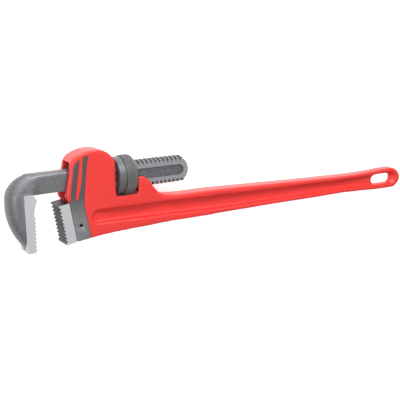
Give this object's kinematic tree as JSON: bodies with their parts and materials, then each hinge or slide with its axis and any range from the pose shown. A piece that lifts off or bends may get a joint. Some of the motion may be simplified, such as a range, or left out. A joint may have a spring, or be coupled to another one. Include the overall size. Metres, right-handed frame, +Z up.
{
  "type": "pipe wrench",
  "caption": "Straight pipe wrench with a cast I-beam handle, sprung hook jaw, toothed heel jaw and knurled adjusting nut.",
  "frame": {"origin": "under the centre of the wrench's bounding box at rest, on the plane that it lies on", "axes": "+X along the handle from the jaws to the hang slot, +Y from the handle towards the shank of the hook jaw, +Z up through the thickness of the wrench, which lies on its side"},
  "size_m": [0.5884, 0.1176, 0.05],
  "materials": {
    "red_enamel": "glossy enamel over a sand-cast surface",
    "forged_steel": "dark forged and tempered steel, slightly rough",
    "ground_steel": "ground steel with fine grinding lines",
    "nut_steel": "turned and knurled steel, grey",
    "spring_steel": "oiled spring steel"
  },
  "bodies": {
    "handle": {"handle": "red_enamel", "heel_jaw": "ground_steel", "heel_jaw_pin": "spring_steel", "coil_spring": "spring_steel", "leaf_rivet": "spring_steel"},
    "rocking_frame": {"flat_spring": "spring_steel"},
    "nut": {"adjusting_nut": "nut_steel"},
    "hook": {"hook_jaw": "forged_steel"}
  },
  "joints": [
    {"name": "jaw_rock", "type": "hinge", "parent": "handle", "child": "rocking_frame", "pos_m": [-0.14331, 0.0213, 0.025], "axis": [0, 0, 1], "range_deg": [-2, 3], "stiffness_Nm_per_rad": 30, "deforming": ["flat_spring", "coil_spring"]},
    {"name": "nut_spin", "type": "hinge", "parent": "rocking_frame", "child": "nut", "pos_m": [-0.14331, 0.0213, 0.025], "axis": [1, 0, 0], "range_deg": [-1613.79, 3848.28]},
    {"name": "jaw_slide", "type": "slide", "parent": "rocking_frame", "child": "hook", "axis": [-1, 0, 0], "range_m": [-0.0261, 0.0621]}
  ],
  "couplings": [
    {"joint": "jaw_slide", "follows": "nut_spin", "m_per_rad": 0.0009231}
  ]
}
